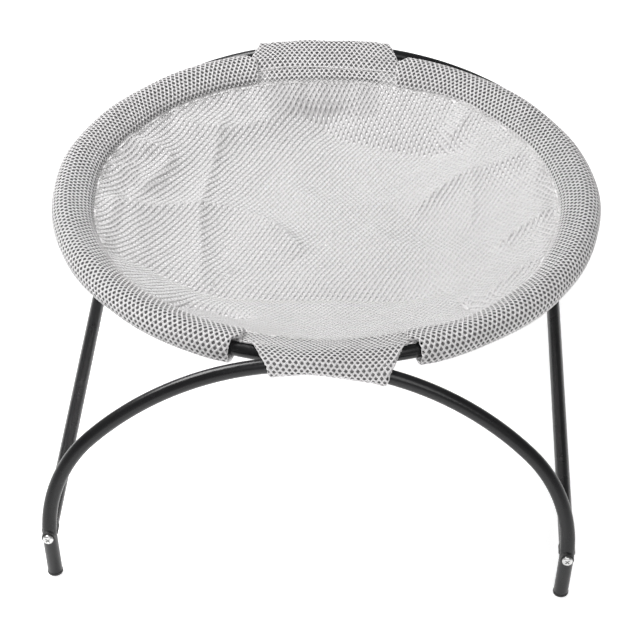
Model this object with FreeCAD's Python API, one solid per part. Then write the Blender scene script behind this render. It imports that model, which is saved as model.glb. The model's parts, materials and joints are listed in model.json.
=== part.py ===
"""Free-standing pet hammock bed: a tubular steel stand with a spacer-mesh bowl.

Two leaning arches and two side rails make the stand. A ring of two half tubes is screwed between the
arches' apexes. The mesh cover has two sleeves that hold the ring, a bowl, and two flaps that wrap the
ring and an apex each. A flap's tail closes under the ring with hook and loop tape, and swings open.

Millimetres. X runs across the bed, Y from front (-Y) to back (+Y), Z up. The origin is on the floor
under the centre of the ring. Pieces are made for the front or the right, and mirrored.
"""
import FreeCAD
import Part
import math
import os

V = FreeCAD.Vector

# Driving dimensions
TUBE_D = 14.0
TUBE_WALL = 1.2
RING_RADIUS = 260.0        # centre line of the ring tube
RING_HEIGHT = 216.5
ARCH_LEAN_DEG = 18.5       # an arch leans in towards the ring, from upright
SADDLE_GAP = 3.5           # between the ring tube and an arch, filled by a moulded saddle
RAIL_X = 241.3             # centre lines of the side rails, and of the arches where they meet
RAIL_Z = 54.0
FOOT_X = 239.5             # centre of a foot on the floor
FOOT_INSET_Y = 4.3         # the feet tuck in under the rails' screws
KINK_RADIUS = 34.0         # bend between an arch and its foot
SIDE_RADIUS = 124.0        # an arch's tighter bends
FIT = 0.1                  # slip fit between two pieces
SCREW_D = 5.0
HOLE_R = 2.8
HEAD_R = 4.9
HEAD_H = 3.1
RECESS_DEPTH = 1.7
WASHER_R = 6.2
APEX_SCREW_X = 18.0        # two screws at each apex, one through each half of the ring
FLANGE = 3.4               # rail plug's flange, before it is hollowed to fit the arch
PLUG_LENGTH = 20.0
INSERT_R = 3.6
FOOT_CAP_H = 3.5
FABRIC = 4.0               # spacer mesh, one layer
SLEEVE_R = 15.0            # outside of a sleeve, round the ring's centre line
SEAM_RADIUS = 232.0        # where the bowl is sewn to the sleeves and flaps
SEAM_Z = 214.0
SLEEVE_START_DEG = 19.5    # a sleeve's end, from the front or back direction
BOWL_DEPTH = 57.0
BOWL_FLOOR_R = 80.0        # the bowl's floor is flat out to here, and its wall is one arc
FLAP_SEAM_HALF = 77.0      # half the flap's width where it is sewn on
FLAP_EDGE_HALF = 57.0      # half its width in front of the arch
FLAP_WRAP = 10.2           # the flap's middle, from the tubes' centre lines
TAIL_HALF = 56.0
TAIL_Z = 206.5
TAPE_HALF = 45.0           # half the hook and loop tape's length
TAPE = 1.3

# Worked out from them
TUBE_R = TUBE_D / 2
BORE_R = TUBE_R - TUBE_WALL
LEAN = math.radians(ARCH_LEAN_DEG)
UP = V(0, math.sin(LEAN), math.cos(LEAN))           # up the front arch, in its plane
OUT = V(0, -math.cos(LEAN), math.sin(LEAN))         # out of the plane, away from the ring
RING_FRONT = V(0, -RING_RADIUS, RING_HEIGHT)
APEX = RING_FRONT + OUT * (TUBE_D + SADDLE_GAP)
RISE = (APEX.z - RAIL_Z) / UP.z
BASE = APEX - UP * RISE                             # between the arch's ends, at rail height
KINK_LEG = KINK_RADIUS * math.tan((LEAN + math.atan(FOOT_INSET_Y / RAIL_Z)) / 2)
SIDE_INSET = RAIL_X - SIDE_RADIUS
SIDE_RISE = RISE - KINK_LEG
TOP_RADIUS = ((SIDE_INSET ** 2 + SIDE_RISE ** 2 - SIDE_RADIUS ** 2)
              / (2 * (SIDE_RISE - SIDE_RADIUS)))
FLOOR_Z = SEAM_Z - BOWL_DEPTH                       # the floor's middle surface
WALL_RADIUS = ((SEAM_RADIUS - BOWL_FLOOR_R) ** 2 + BOWL_DEPTH ** 2) / (2 * BOWL_DEPTH)


def save(name, shape):
    solids = shape.Solids
    assert solids and shape.isValid(), name
    out = solids[0] if len(solids) == 1 else Part.makeCompound(solids)
    out.exportStep(f"parts/{name}.step")
    print(f"{name:26s} solids {len(solids)}  volume {sum(s.Volume for s in solids):10.1f} mm3")


def mirror_x(shape):
    return shape.mirror(V(0, 0, 0), V(1, 0, 0))


def mirror_y(shape):
    return shape.mirror(V(0, 0, 0), V(0, 1, 0))


def save_front_and_rear(name, shape):
    save(f"front_{name}", shape)
    save(f"rear_{name}", mirror_y(shape))


def four_corners(shape):
    """The front right piece with its three mirror images, as one group."""
    pair = [shape, mirror_x(shape)]
    return Part.makeCompound(pair + [mirror_y(s) for s in pair])


def cylinder(radius, start, end):
    axis = end - start
    return Part.makeCylinder(radius, axis.Length, start, axis)


def ring_sector(radius, start_deg, span_deg):
    """A solid round bar along part of the ring's centre line; 0 degrees is +X."""
    disc = Part.Face(Part.Wire(Part.Circle(V(RING_RADIUS, 0, RING_HEIGHT), V(0, 1, 0), radius).toShape()))
    disc.rotate(V(0, 0, 0), V(0, 0, 1), start_deg)
    return disc.revolve(V(0, 0, 0), V(0, 0, 1), span_deg)


# The front arch's centre line

def on_arch(across, along):
    return BASE + V(across, 0, 0) + UP * along


def rounded_corner(before, corner, after, radius):
    """Start, middle and end of the tangent arc that rounds a corner."""
    a = (before - corner).normalize()
    b = (after - corner).normalize()
    half = math.acos(a.dot(b)) / 2
    middle = corner + (a + b).normalize() * (radius / math.sin(half) - radius)
    return corner + a * (radius / math.tan(half)), middle, corner + b * (radius / math.tan(half))


def half_arch_points():
    """Foot, then the arcs' start, middle and end points up to the apex, on the right."""
    foot = V(FOOT_X, BASE.y + FOOT_INSET_Y, 0)
    kink = rounded_corner(foot, on_arch(RAIL_X, 0), on_arch(RAIL_X, RISE), KINK_RADIUS)
    top_y = RISE - TOP_RADIUS
    turn = math.atan2(kink_rise(kink) - top_y, SIDE_INSET)

    def side(angle):
        return on_arch(SIDE_INSET + SIDE_RADIUS * math.cos(angle),
                       kink_rise(kink) + SIDE_RADIUS * math.sin(angle))

    return foot, kink, (side(0), side(turn / 2), side(turn))


def kink_rise(kink):
    return (kink[2] - on_arch(RAIL_X, 0)).Length


def flip(point):
    return V(-point.x, point.y, point.z)


FOOT, KINK, SIDE = half_arch_points()
FOOT_DIRECTION = (KINK[0] - FOOT).normalize()


def arch_path(foot_cut):
    """The whole centre line, from one foot over the apex to the other."""
    end = FOOT + FOOT_DIRECTION * foot_cut
    right = [Part.LineSegment(end, KINK[0]), Part.Arc(*KINK), Part.Arc(SIDE[0], SIDE[1], SIDE[2])]
    top = [Part.Arc(SIDE[2], on_arch(0, RISE), flip(SIDE[2]))]
    left = [Part.Arc(*[flip(p) for p in reversed(SIDE)]), Part.Arc(*[flip(p) for p in reversed(KINK)]),
            Part.LineSegment(flip(KINK[0]), flip(end))]
    return Part.Wire([c.toShape() for c in right + top + left])


def arch_bar(radius, foot_cut):
    path = arch_path(foot_cut)
    start = FOOT + FOOT_DIRECTION * foot_cut
    section = Part.Wire(Part.Circle(start, FOOT_DIRECTION, radius).toShape())
    return path.makePipeShell([section], True, False)


# Holes and screws

def rail_axis(from_y, to_y, radius):
    """A cylinder along the right-hand rail's axis."""
    return cylinder(radius, V(RAIL_X, from_y, RAIL_Z), V(RAIL_X, to_y, RAIL_Z))


def apex_axis(x, start, end, radius):
    """A cylinder across the ring and the front arch, measured out from the ring's centre line."""
    foot_point = V(x, -math.sqrt(RING_RADIUS ** 2 - x ** 2), RING_HEIGHT)
    return cylinder(radius, foot_point + OUT * start, foot_point + OUT * end)


def pan_head(seat, axis):
    """A cross-recessed pan head; the axis points out of the seat."""
    head = cylinder(HEAD_R, seat, seat + axis * HEAD_H)
    rim = [e for e in head.Edges if (e.CenterOfMass - seat).dot(axis) > HEAD_H - 0.01]
    head = head.makeFillet(1.6, rim[:1])
    for turn in (0, 90):
        slot = Part.makeBox(5.4, 1.1, 2 * RECESS_DEPTH, V(-2.7, -0.55, -RECESS_DEPTH))
        slot.rotate(V(0, 0, 0), V(0, 0, 1), turn + 45)
        slot.Placement = FreeCAD.Placement(seat + axis * HEAD_H,
                                           FreeCAD.Rotation(V(0, 0, 1), axis)).multiply(slot.Placement)
        head = head.cut(slot)
    return head


def screw(seat, axis, length):
    shank = cylinder(SCREW_D / 2, seat - axis * length, seat + axis * 0.5)
    return pan_head(seat, axis).fuse(shank).removeSplitter()


# Metal and moulded pieces

def ring_half():
    """The right half of the ring tube, from the front apex round to the back."""
    tube = ring_sector(TUBE_R, -90, 180).cut(ring_sector(BORE_R, -91, 182))
    drill = apex_axis(APEX_SCREW_X, -2 * TUBE_D, TUBE_D / 2 + 2, HOLE_R)
    return tube.cut(drill).cut(mirror_y(drill))


def ring_spigot():
    """The inner tube that joins the two halves of the ring at the front."""
    bar = ring_sector(BORE_R - FIT, -97, 14).cut(ring_sector(BORE_R - FIT - TUBE_WALL, -98, 16))
    for x in (-APEX_SCREW_X, APEX_SCREW_X):
        bar = bar.cut(apex_axis(x, -TUBE_D, TUBE_D, HOLE_R))
    return bar


def apex_saddle():
    """The moulded saddle between the ring and the front arch, hollowed for both tubes."""
    half = APEX_SCREW_X + 10
    block = Part.makeBox(2 * half, TUBE_D + SADDLE_GAP - 6, 11, V(-half, 3, -5.5))
    block.Placement = FreeCAD.Placement(RING_FRONT, FreeCAD.Rotation(V(1, 0, 0), 180 - ARCH_LEAN_DEG))
    block = block.cut(ring_sector(TUBE_R + FIT, -105, 30)).cut(arch_bar(TUBE_R + FIT, FOOT_CAP_H))
    for x in (-APEX_SCREW_X, APEX_SCREW_X):
        block = block.cut(apex_axis(x, 0, 30, HOLE_R))
    return block


def apex_screws():
    """Two screws from inside the ring into the front arch."""
    pair = []
    for x in (-APEX_SCREW_X, APEX_SCREW_X):
        seat = V(x, -math.sqrt(RING_RADIUS ** 2 - x ** 2), RING_HEIGHT) - OUT * (TUBE_R + 0.6)
        pair.append(screw(seat, OUT * -1, TUBE_R + 0.6 + TUBE_D + SADDLE_GAP + 3))
    return Part.makeCompound(pair)


def apex_rivet_nuts():
    """Two threaded rivet nuts in the front arch's inner wall."""
    reach = TUBE_D + SADDLE_GAP
    pair = []
    for x in (-APEX_SCREW_X, APEX_SCREW_X):
        sleeve = apex_axis(x, reach - TUBE_R + 2, reach + 4, INSERT_R - FIT)
        pair.append(sleeve.cut(apex_axis(x, 0, reach + 10, SCREW_D / 2 + FIT / 2)))
    return Part.makeCompound(pair)


def front_arch():
    tube = arch_bar(TUBE_R, FOOT_CAP_H).cut(arch_bar(BORE_R, FOOT_CAP_H - 1))
    for side in (-1, 1):
        drill = rail_axis(BASE.y - TUBE_D, BASE.y + TUBE_D, HOLE_R)
        tube = tube.cut(drill if side > 0 else mirror_x(drill))
        tube = tube.cut(apex_axis(side * APEX_SCREW_X, TUBE_R, TUBE_D + SADDLE_GAP, INSERT_R))
    return tube


def rail():
    end = -BASE.y - TUBE_R - FLANGE
    return rail_axis(-end, end, TUBE_R).cut(rail_axis(-end - 1, end + 1, BORE_R))


def rail_plug():
    """Front right: a flange hollowed to sit on the arch, and a stem up the rail."""
    face = BASE.y + TUBE_R + FLANGE
    flange = rail_axis(BASE.y + 2, face - 0.02, TUBE_R + 0.8).cut(arch_bar(TUBE_R + FIT, FOOT_CAP_H))
    flange = max(flange.Solids, key=lambda s: s.Volume)
    stem = rail_axis(face - 0.5, face + PLUG_LENGTH, BORE_R - FIT)
    plug = flange.fuse(stem).removeSplitter()
    plug = plug.cut(rail_axis(face - 10, face + PLUG_LENGTH + 1, HOLE_R))
    return plug.cut(rail_axis(face + 4, face + PLUG_LENGTH + 1, INSERT_R))


def rail_insert():
    """Front right: the threaded insert pressed into the rail plug."""
    face = BASE.y + TUBE_R + FLANGE
    sleeve = rail_axis(face + 4, face + PLUG_LENGTH - 2, INSERT_R)
    return sleeve.cut(rail_axis(face, face + PLUG_LENGTH, SCREW_D / 2 + FIT / 2))


def rail_washer():
    """Front right: the saddle washer under the rail's screw head."""
    outside = BASE.y - TUBE_R
    disc = rail_axis(outside - 1.2, outside + 3, WASHER_R)
    disc = disc.cut(arch_bar(TUBE_R + FIT, FOOT_CAP_H)).cut(rail_axis(outside - 5, outside + 5, HOLE_R))
    return disc


def rail_screw():
    return screw(V(RAIL_X, BASE.y - TUBE_R - 1.25, RAIL_Z), V(0, -1, 0), 36)


def foot_cap():
    """Front right: a moulded cap with a flat underside, and a stem up the foot."""
    start = FOOT - FOOT_DIRECTION * 4
    pad = cylinder(TUBE_R + 0.3, start, FOOT + FOOT_DIRECTION * (FOOT_CAP_H - 0.02))
    stem = cylinder(BORE_R - FIT, FOOT, FOOT + FOOT_DIRECTION * 16)
    floor = Part.makeBox(60, 60, 20, V(FOOT_X - 30, FOOT.y - 30, -20))
    cap = pad.fuse(stem).removeSplitter().cut(floor)
    lowest = [e for e in cap.Edges if e.BoundBox.ZMax < 0.01]
    return cap.makeFillet(1.2, lowest)


# Fabric

def teardrop(radius, tip_distance):
    """A sleeve's outline in the XZ plane: round the ring tube, drawn in to a point."""
    centre = V(RING_RADIUS, 0, RING_HEIGHT)
    inward = V(SEAM_RADIUS - RING_RADIUS, 0, SEAM_Z - RING_HEIGHT).normalize()
    across = V(-inward.z, 0, inward.x)
    angle = math.acos(radius / tip_distance)
    touch = [centre + inward * (radius * math.cos(angle)) + across * (s * radius * math.sin(angle))
             for s in (1, -1)]
    tip = centre + inward * tip_distance
    edges = [Part.Arc(touch[0], centre - inward * radius, touch[1]).toShape(),
             Part.LineSegment(touch[1], tip).toShape(), Part.LineSegment(tip, touch[0]).toShape()]
    return Part.Face(Part.Wire(edges))


def sleeve():
    """The right-hand sleeve."""
    taper = SLEEVE_R / 34.0
    hollow = SLEEVE_R - FABRIC
    section = teardrop(SLEEVE_R, SLEEVE_R / taper).cut(teardrop(hollow, hollow / taper))
    section.rotate(V(0, 0, 0), V(0, 0, 1), SLEEVE_START_DEG - 90)
    body = section.revolve(V(0, 0, 0), V(0, 0, 1), 180 - 2 * SLEEVE_START_DEG)
    return body.cut(Part.makeCylinder(SEAM_RADIUS + FIT, 2 * RING_HEIGHT))


def wall_point(offset, radius):
    """A place on the bowl's wall in the XZ plane; offset is out from its middle surface."""
    angle = math.asin((radius - BOWL_FLOOR_R) / WALL_RADIUS)
    r = WALL_RADIUS + offset
    return V(BOWL_FLOOR_R + r * math.sin(angle), 0, FLOOR_Z + WALL_RADIUS - r * math.cos(angle))


def wall_edges(inner, outer, start_radius, end_radius):
    """The wall's upper side, end and lower side, from start_radius out and back."""
    middle = (start_radius + end_radius) / 2
    return [Part.Arc(*[wall_point(inner, r) for r in (start_radius, middle, end_radius)]).toShape(),
            Part.LineSegment(wall_point(inner, end_radius), wall_point(outer, end_radius)).toShape(),
            Part.Arc(*[wall_point(outer, r) for r in (end_radius, middle, start_radius)]).toShape()]


def bowl():
    """A flat floor and a curved wall, trimmed upright at the seam."""
    half = FABRIC / 2
    top, bottom = V(0, 0, FLOOR_Z + half), V(0, 0, FLOOR_Z - half)
    edges = [Part.LineSegment(top, wall_point(-half, BOWL_FLOOR_R)).toShape()]
    edges += wall_edges(-half, half, BOWL_FLOOR_R, SEAM_RADIUS + 2)
    edges += [Part.LineSegment(wall_point(half, BOWL_FLOOR_R), bottom).toShape(),
              Part.LineSegment(bottom, top).toShape()]
    dish = Part.Face(Part.Wire(edges)).revolve(V(0, 0, 0), V(0, 0, 1), 360)
    return dish.common(Part.makeCylinder(SEAM_RADIUS, 2 * RING_HEIGHT))


def band(points, thickness):
    """A closed outline round a line of (y, z) points."""
    def normal(i, j):
        dy, dz = points[j][0] - points[i][0], points[j][1] - points[i][1]
        length = math.hypot(dy, dz)
        return dz / length, -dy / length

    sides = ([], [])
    last = len(points) - 1
    for i, (y, z) in enumerate(points):
        n0 = normal(max(i - 1, 0), max(i, 1))
        n1 = normal(min(i, last - 1), min(i + 1, last))
        ny, nz = n0[0] + n1[0], n0[1] + n1[1]
        scale = thickness / (ny * n0[0] + nz * n0[1])
        for side, sign in zip(sides, (0.5, -0.5)):
            side.append((y + sign * ny * scale, z + sign * nz * scale))
    return sides[0] + sides[1][::-1]


def flap():
    """The front flap: sewn at the seam, over the ring, and down in front of the arch's apex."""
    stations = []
    for step in range(-3, 4):
        s = step / 3
        seam_y = -math.sqrt((SEAM_RADIUS + FIT) ** 2 - (s * FLAP_SEAM_HALF) ** 2)
        ring_y = -math.sqrt(RING_RADIUS ** 2 - (s * 0.9 * FLAP_SEAM_HALF) ** 2)
        arch = APEX - UP * (TOP_RADIUS - math.sqrt(TOP_RADIUS ** 2 - (s * FLAP_EDGE_HALF) ** 2))
        diagonal = FLAP_WRAP * math.sqrt(0.5)
        line = [(seam_y, SEAM_Z), (ring_y + 5, RING_HEIGHT + FLAP_WRAP), (arch.y, arch.z + FLAP_WRAP),
                (arch.y - diagonal, arch.z + diagonal), (arch.y - FLAP_WRAP, arch.z),
                (arch.y - FLAP_WRAP - 0.5, TAIL_Z + 5)]
        corners = []
        for y, z in band(line, FABRIC):
            part = (seam_y - y) / (seam_y - APEX.y + FLAP_WRAP)
            half = FLAP_SEAM_HALF + (FLAP_EDGE_HALF - FLAP_SEAM_HALF) * part
            corners.append(V(s * half, y, z))
        stations.append(Part.makePolygon(corners + corners[:1]))
    body = Part.makeLoft(stations, True, True)
    return body.cut(Part.makeCylinder(SEAM_RADIUS + FIT, 2 * RING_HEIGHT))


def tail_line():
    """The front tail's middle line: back under the ring, then along the bowl's underside."""
    return [(APEX.y - 12.5, TAIL_Z), (-4 - SEAM_RADIUS, TAIL_Z - 2), (28 - SEAM_RADIUS, TAIL_Z - 22.5)]


def across_x(outline, half):
    corners = [V(-half, y, z) for y, z in outline]
    return Part.Face(Part.makePolygon(corners + corners[:1])).extrude(V(2 * half, 0, 0))


def tail():
    """The front tail, with a round edge on its hinge line."""
    hinge_y, hinge_z = tail_line()[0]
    fold = cylinder(FABRIC / 2, V(-TAIL_HALF, hinge_y, hinge_z), V(TAIL_HALF, hinge_y, hinge_z))
    return across_x(band(tail_line(), FABRIC), TAIL_HALF).fuse(fold).removeSplitter()


def hook_tape():
    """On top of the front tail, at its tip."""
    _, bend, tip = tail_line()
    dy, dz = tip[0] - bend[0], tip[1] - bend[1]
    length = math.hypot(dy, dz)
    lift = (FABRIC + TAPE) / 2
    line = [(bend[0] + dy * k - dz / length * lift, bend[1] + dz * k + dy / length * lift)
            for k in (0.15, 0.92)]
    return across_x(band(line, TAPE), TAPE_HALF)


def loop_tape():
    """Under the bowl's front edge, facing the hook tape."""
    half_deg = math.degrees(TAPE_HALF / (SEAM_RADIUS - 14))
    near, start, end = FABRIC / 2, SEAM_RADIUS - 24, SEAM_RADIUS - 4
    edges = wall_edges(near, near + TAPE, start, end)
    edges.append(Part.LineSegment(wall_point(near + TAPE, start), wall_point(near, start)).toShape())
    face = Part.Face(Part.Wire(edges))
    face.rotate(V(0, 0, 0), V(0, 0, 1), -90 - half_deg)
    return face.revolve(V(0, 0, 0), V(0, 0, 1), 2 * half_deg)


def main():
    os.makedirs("parts", exist_ok=True)
    half = ring_half()
    save("right_ring_half", half)
    save("left_ring_half", mirror_x(half))
    save_front_and_rear("ring_spigot", ring_spigot())
    save_front_and_rear("arch", front_arch())
    save_front_and_rear("apex_saddle", apex_saddle())
    save_front_and_rear("apex_screws", apex_screws())
    save_front_and_rear("apex_rivet_nuts", apex_rivet_nuts())
    save("right_rail", rail())
    save("left_rail", mirror_x(rail()))
    plug = rail_plug()
    cap = foot_cap()
    for name, shape in (("rail_plug", plug), ("foot_cap", cap)):
        save_front_and_rear(f"right_{name}", shape)
        save_front_and_rear(f"left_{name}", mirror_x(shape))
    save("rail_inserts", four_corners(rail_insert()))
    save("rail_washers", four_corners(rail_washer()))
    save("rail_screws", four_corners(rail_screw()))
    right_sleeve = sleeve()
    save("right_sleeve", right_sleeve)
    save("left_sleeve", mirror_x(right_sleeve))
    save("bowl", bowl())
    save_front_and_rear("flap", flap())
    save_front_and_rear("flap_tail", tail())
    save_front_and_rear("hook_tape", hook_tape())
    save_front_and_rear("loop_tape", loop_tape())


main()
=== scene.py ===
"""Looks for the pet hammock bed: a round mesh bowl on a tube ring, held by two leaning tube arches.

The metal and moulded pieces are the CAD nodes with detailed materials. The cover is built here as a
knitted net with real holes: bowl, two sleeves, and two flaps with their tails.
Metres, in the CAD's frame.
"""

import json
import math

import bpy
import numpy as np
from mathutils import Matrix, Vector


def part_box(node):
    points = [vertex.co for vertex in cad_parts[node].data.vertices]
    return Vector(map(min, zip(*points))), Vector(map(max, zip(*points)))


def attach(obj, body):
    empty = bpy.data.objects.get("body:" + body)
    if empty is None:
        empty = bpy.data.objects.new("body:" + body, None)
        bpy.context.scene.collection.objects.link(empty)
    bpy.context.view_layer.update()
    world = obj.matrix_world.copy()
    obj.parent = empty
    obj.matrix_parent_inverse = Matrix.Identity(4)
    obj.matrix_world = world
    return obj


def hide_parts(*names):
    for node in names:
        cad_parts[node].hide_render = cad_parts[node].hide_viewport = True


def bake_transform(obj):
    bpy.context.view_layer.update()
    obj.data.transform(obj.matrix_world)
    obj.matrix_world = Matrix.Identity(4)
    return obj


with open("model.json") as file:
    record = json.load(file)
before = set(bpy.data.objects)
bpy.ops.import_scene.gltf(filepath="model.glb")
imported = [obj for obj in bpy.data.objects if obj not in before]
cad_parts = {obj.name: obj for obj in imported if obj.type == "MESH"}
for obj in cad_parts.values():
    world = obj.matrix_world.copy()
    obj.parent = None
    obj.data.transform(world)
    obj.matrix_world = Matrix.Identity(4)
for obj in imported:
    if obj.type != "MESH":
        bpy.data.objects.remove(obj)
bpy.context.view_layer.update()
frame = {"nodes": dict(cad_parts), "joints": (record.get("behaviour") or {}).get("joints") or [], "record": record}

# Places, from the CAD
RING_LO, RING_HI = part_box("right_ring_half")
ARCH_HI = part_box("front_arch")[1]
TUBE = (RING_HI.z - RING_LO.z) / 2
RING = RING_HI.x - TUBE                     # the ring's centre-line radius
RING_Z = (RING_HI.z + RING_LO.z) / 2
APEX = (ARCH_HI.y - TUBE, ARCH_HI.z - TUBE)  # the front arch's apex centre, y and z
LEAN = math.radians(18.5)
ARCH_TOP_RADIUS = 0.2958
HINGE = {j["name"].split("_")[0]: j["pos_m"] for j in frame["joints"]}

# The cover
TURN = math.radians(2.4)                    # the cover sits slightly turned on the ring
SEAM_SIDE, SEAM_END = 0.2345, 0.2285        # seam radius at the sides, and at front and back
SEAM_Z = 0.2140
BOWL_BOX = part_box("bowl")
FLOOR_R = 0.070                             # the bowl's floor is nearly flat out to here
SLEEVE_R = 0.0146
SLEEVE_START = math.radians(19.5)
CELL = (0.0054, 0.0085)                     # a diamond of the net, along and across
YARN = 0.00045                              # how far a strand's crown stands off its middle
FLAP_TURN = math.radians(3.05)
# A flap's half width by the distance along the cloth from the seam
FLAP_HALF = {"front": ((0, 0.022, 0.0486, 0.075, 0.088, 0.2), (0.0775, 0.0735, 0.0640, 0.0540, 0.0512, 0.0500)),
             "rear": ((0, 0.022, 0.0486, 0.075, 0.095, 0.2), (0.0820, 0.0810, 0.0755, 0.0690, 0.0600, 0.0560))}
FLAP_STATIONS = np.linspace(-1, 1, 33)      # across a flap, in half widths
FLAP_STEPS = 220                            # along a flap
FLAP_AT_RING, FLAP_AT_ARCH = 0.068, 0.053   # half widths where it passes over the ring and the arch
SLEEVE_STEPS = 120                          # round a sleeve
NOTCH = 0.0300                              # cloth between the seam and the notches beside a flap
BACKING = 0.0011                            # from the net to the spacer yarns behind it


# Mesh tools

def mesh_piece(name, verts, faces, uv, material):
    """A smooth quad mesh from arrays; uv holds one flat place per vertex."""
    me = bpy.data.meshes.new(name)
    me.vertices.add(len(verts))
    me.vertices.foreach_set("co", np.asarray(verts, np.float32).ravel())
    me.loops.add(faces.size)
    me.loops.foreach_set("vertex_index", faces.astype(np.int32).ravel())
    me.polygons.add(len(faces))
    me.polygons.foreach_set("loop_start", np.arange(0, faces.size, 4, dtype=np.int32))
    layer = me.uv_layers.new(name="UVMap")
    layer.data.foreach_set("uv", np.asarray(uv, np.float32)[faces.ravel()].ravel())
    me.polygons.foreach_set("use_smooth", np.ones(len(faces), bool))
    me.update(calc_edges=True)
    me.validate()
    ob = bpy.data.objects.new(name, me)
    bpy.context.scene.collection.objects.link(ob)
    me.materials.append(material)
    return ob


def unit(v):
    return v / np.maximum(np.linalg.norm(v, axis=-1, keepdims=True), 1e-12)


def net(name, place, inside, extent, material, cell=CELL, holes=1.0, crown_by=YARN):
    """A knitted net over the flat places where inside() is true. Its strands are crowned on both faces,
    meet at the holes' rims and are walled at the cut edge, so that the mesh is closed."""
    a, b = cell
    ni, nj = int(extent[0] / (a / 2)) + 2, int(extent[1] / (b / 2)) + 2
    i, j = np.meshgrid(np.arange(-ni, ni + 1), np.arange(-nj, nj + 1))
    even = (i + j) % 2 == 0
    i, j = i[even], j[even]
    keep = inside(i * a / 2, j * b / 2)
    i, j = i[keep], j[keep]
    step = np.array([(2, 0), (1, 1), (0, 2), (-1, 1), (-2, 0), (-1, -1), (0, -2), (1, -1)])
    opening = holes * np.array([0.62, 0.64, 0.40, 0.64, 0.62, 0.64, 0.40, 0.64])
    centre = np.stack([2 * i, 2 * j], -1)
    keys = centre[:, None, :] + step[None]
    flat_keys = (keys[..., 0] + 100000) * 1000000 + keys[..., 1] + 100000
    unique, index = np.unique(flat_keys.ravel(), return_inverse=True)
    outer = index.reshape(-1, 8)
    ku, kv = unique // 1000000 - 100000, unique % 1000000 - 100000
    scale = np.array([a / 4, b / 4])
    outer_uv = np.stack([ku, kv], -1) * scale
    hole_uv = ((centre[:, None, :] + step[None] * opening[None, :, None]) * scale).reshape(-1, 2)

    wave = 0.0005 * np.sin(outer_uv[:, 1] * 150 + 1.7 * np.sin(outer_uv[:, 0] * 60))
    hole_wave = 0.0005 * np.sin(hole_uv[:, 1] * 150 + 1.7 * np.sin(hole_uv[:, 0] * 60))
    outer_uv[:, 0] += wave
    hole_uv[:, 0] += hole_wave

    def lifted(uv):
        p = place(uv[:, 0], uv[:, 1])
        d = 2e-4
        pu, pv = place(uv[:, 0] + d, uv[:, 1]), place(uv[:, 0], uv[:, 1] + d)
        mu, mv = place(uv[:, 0] - d, uv[:, 1]), place(uv[:, 0], uv[:, 1] - d)
        return p, unit(np.cross(pu - mu, pv - mv))

    top, normal = lifted(outer_uv)
    rim = place(hole_uv[:, 0], hole_uv[:, 1])
    crown = normal * crown_by
    n = len(outer_uv)
    verts = np.concatenate([top + crown, top - crown, rim])
    uv = np.concatenate([outer_uv, outer_uv, hole_uv])
    hole = 2 * n + np.arange(len(hole_uv)).reshape(-1, 8)
    nxt = np.roll(np.arange(8), -1)
    upper = np.stack([outer, outer[:, nxt], hole[:, nxt], hole], -1).reshape(-1, 4)
    lower = np.stack([outer[:, nxt] + n, outer + n, hole, hole[:, nxt]], -1).reshape(-1, 4)
    edge = np.stack([outer, outer[:, nxt]], -1).reshape(-1, 2)
    _, first, count = np.unique(edge.min(1) * n + edge.max(1), return_index=True, return_counts=True)
    k, m = edge[first[count == 1]].T
    cut = np.stack([m, k, k + n, m + n], -1)
    return mesh_piece(name, verts, np.concatenate([upper, lower, cut]), uv, material)


def tube_mesh(name, path, radius, material, closed=False, flat=1.0, sides=10):
    """A round or flattened roll along a path of points."""
    path = np.asarray(path, float)
    ahead = np.roll(path, -1, 0) if closed else np.vstack([path[1:], 2 * path[-1] - path[-2]])
    behind = np.roll(path, 1, 0) if closed else np.vstack([2 * path[0] - path[1], path[:-1]])
    t = unit(ahead - behind)
    side = unit(np.cross(t, np.array([0.0, 0.0, 1.0])))
    up = np.cross(side, t)
    angle = np.linspace(0, 2 * np.pi, sides, endpoint=False)
    size = np.full(len(path), radius)
    if not closed:
        size[[0, -1]] = radius * 0.35
    ring = (path[:, None] + size[:, None, None] * (side[:, None] * np.cos(angle)[None, :, None]
            + flat * up[:, None] * np.sin(angle)[None, :, None]))
    n = len(path)
    verts = ring.reshape(-1, 3)
    row = np.arange(n if closed else n - 1)
    k = np.arange(sides)
    r0, r1 = row[:, None] * sides, ((row + 1) % n)[:, None] * sides
    faces = np.stack([r0 + k, r0 + (k + 1) % sides, r1 + (k + 1) % sides, r1 + k], -1).reshape(-1, 4)
    length = np.concatenate([[0], np.cumsum(np.linalg.norm(np.diff(path, axis=0), axis=1))])
    uv = np.stack([np.repeat(length, sides), np.tile(angle * radius, n)], -1)
    if not closed:
        caps = np.stack([[sides - 1 - c, c, c + 1, sides - 2 - c] for c in range(sides // 2 - 1)])
        far = (n - 1) * sides + caps[:, ::-1]
        faces = np.concatenate([faces, caps[:, ::-1], far])
    return mesh_piece(name, verts, faces[:, ::-1], uv, material)


def backing_sheet(name, place, across, along, trim, material, side=BACKING):
    """The cloth's inner face: a fine sheet behind the net. trim(u, v) pulls its edges in to the cut."""
    u, v = trim(*np.meshgrid(across, along))
    p, d = place(u, v), 4e-4
    normal = unit(np.cross(place(u + d, v) - place(u - d, v), place(u, v + d) - place(u, v - d)))
    verts = (p - normal * side).reshape(-1, 3)
    rows, cols = u.shape
    k = np.arange(rows * cols).reshape(rows, cols)
    faces = np.stack([k[:-1, :-1], k[:-1, 1:], k[1:, 1:], k[1:, :-1]], -1).reshape(-1, 4)
    c = verts[faces]
    area = np.linalg.norm(np.cross(c[:, 2] - c[:, 0], c[:, 3] - c[:, 1]), axis=1) / 2
    flat = np.stack([u, v], -1).reshape(-1, 2)
    return mesh_piece(name, verts, faces[area > 1e-9], flat, material)


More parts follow.
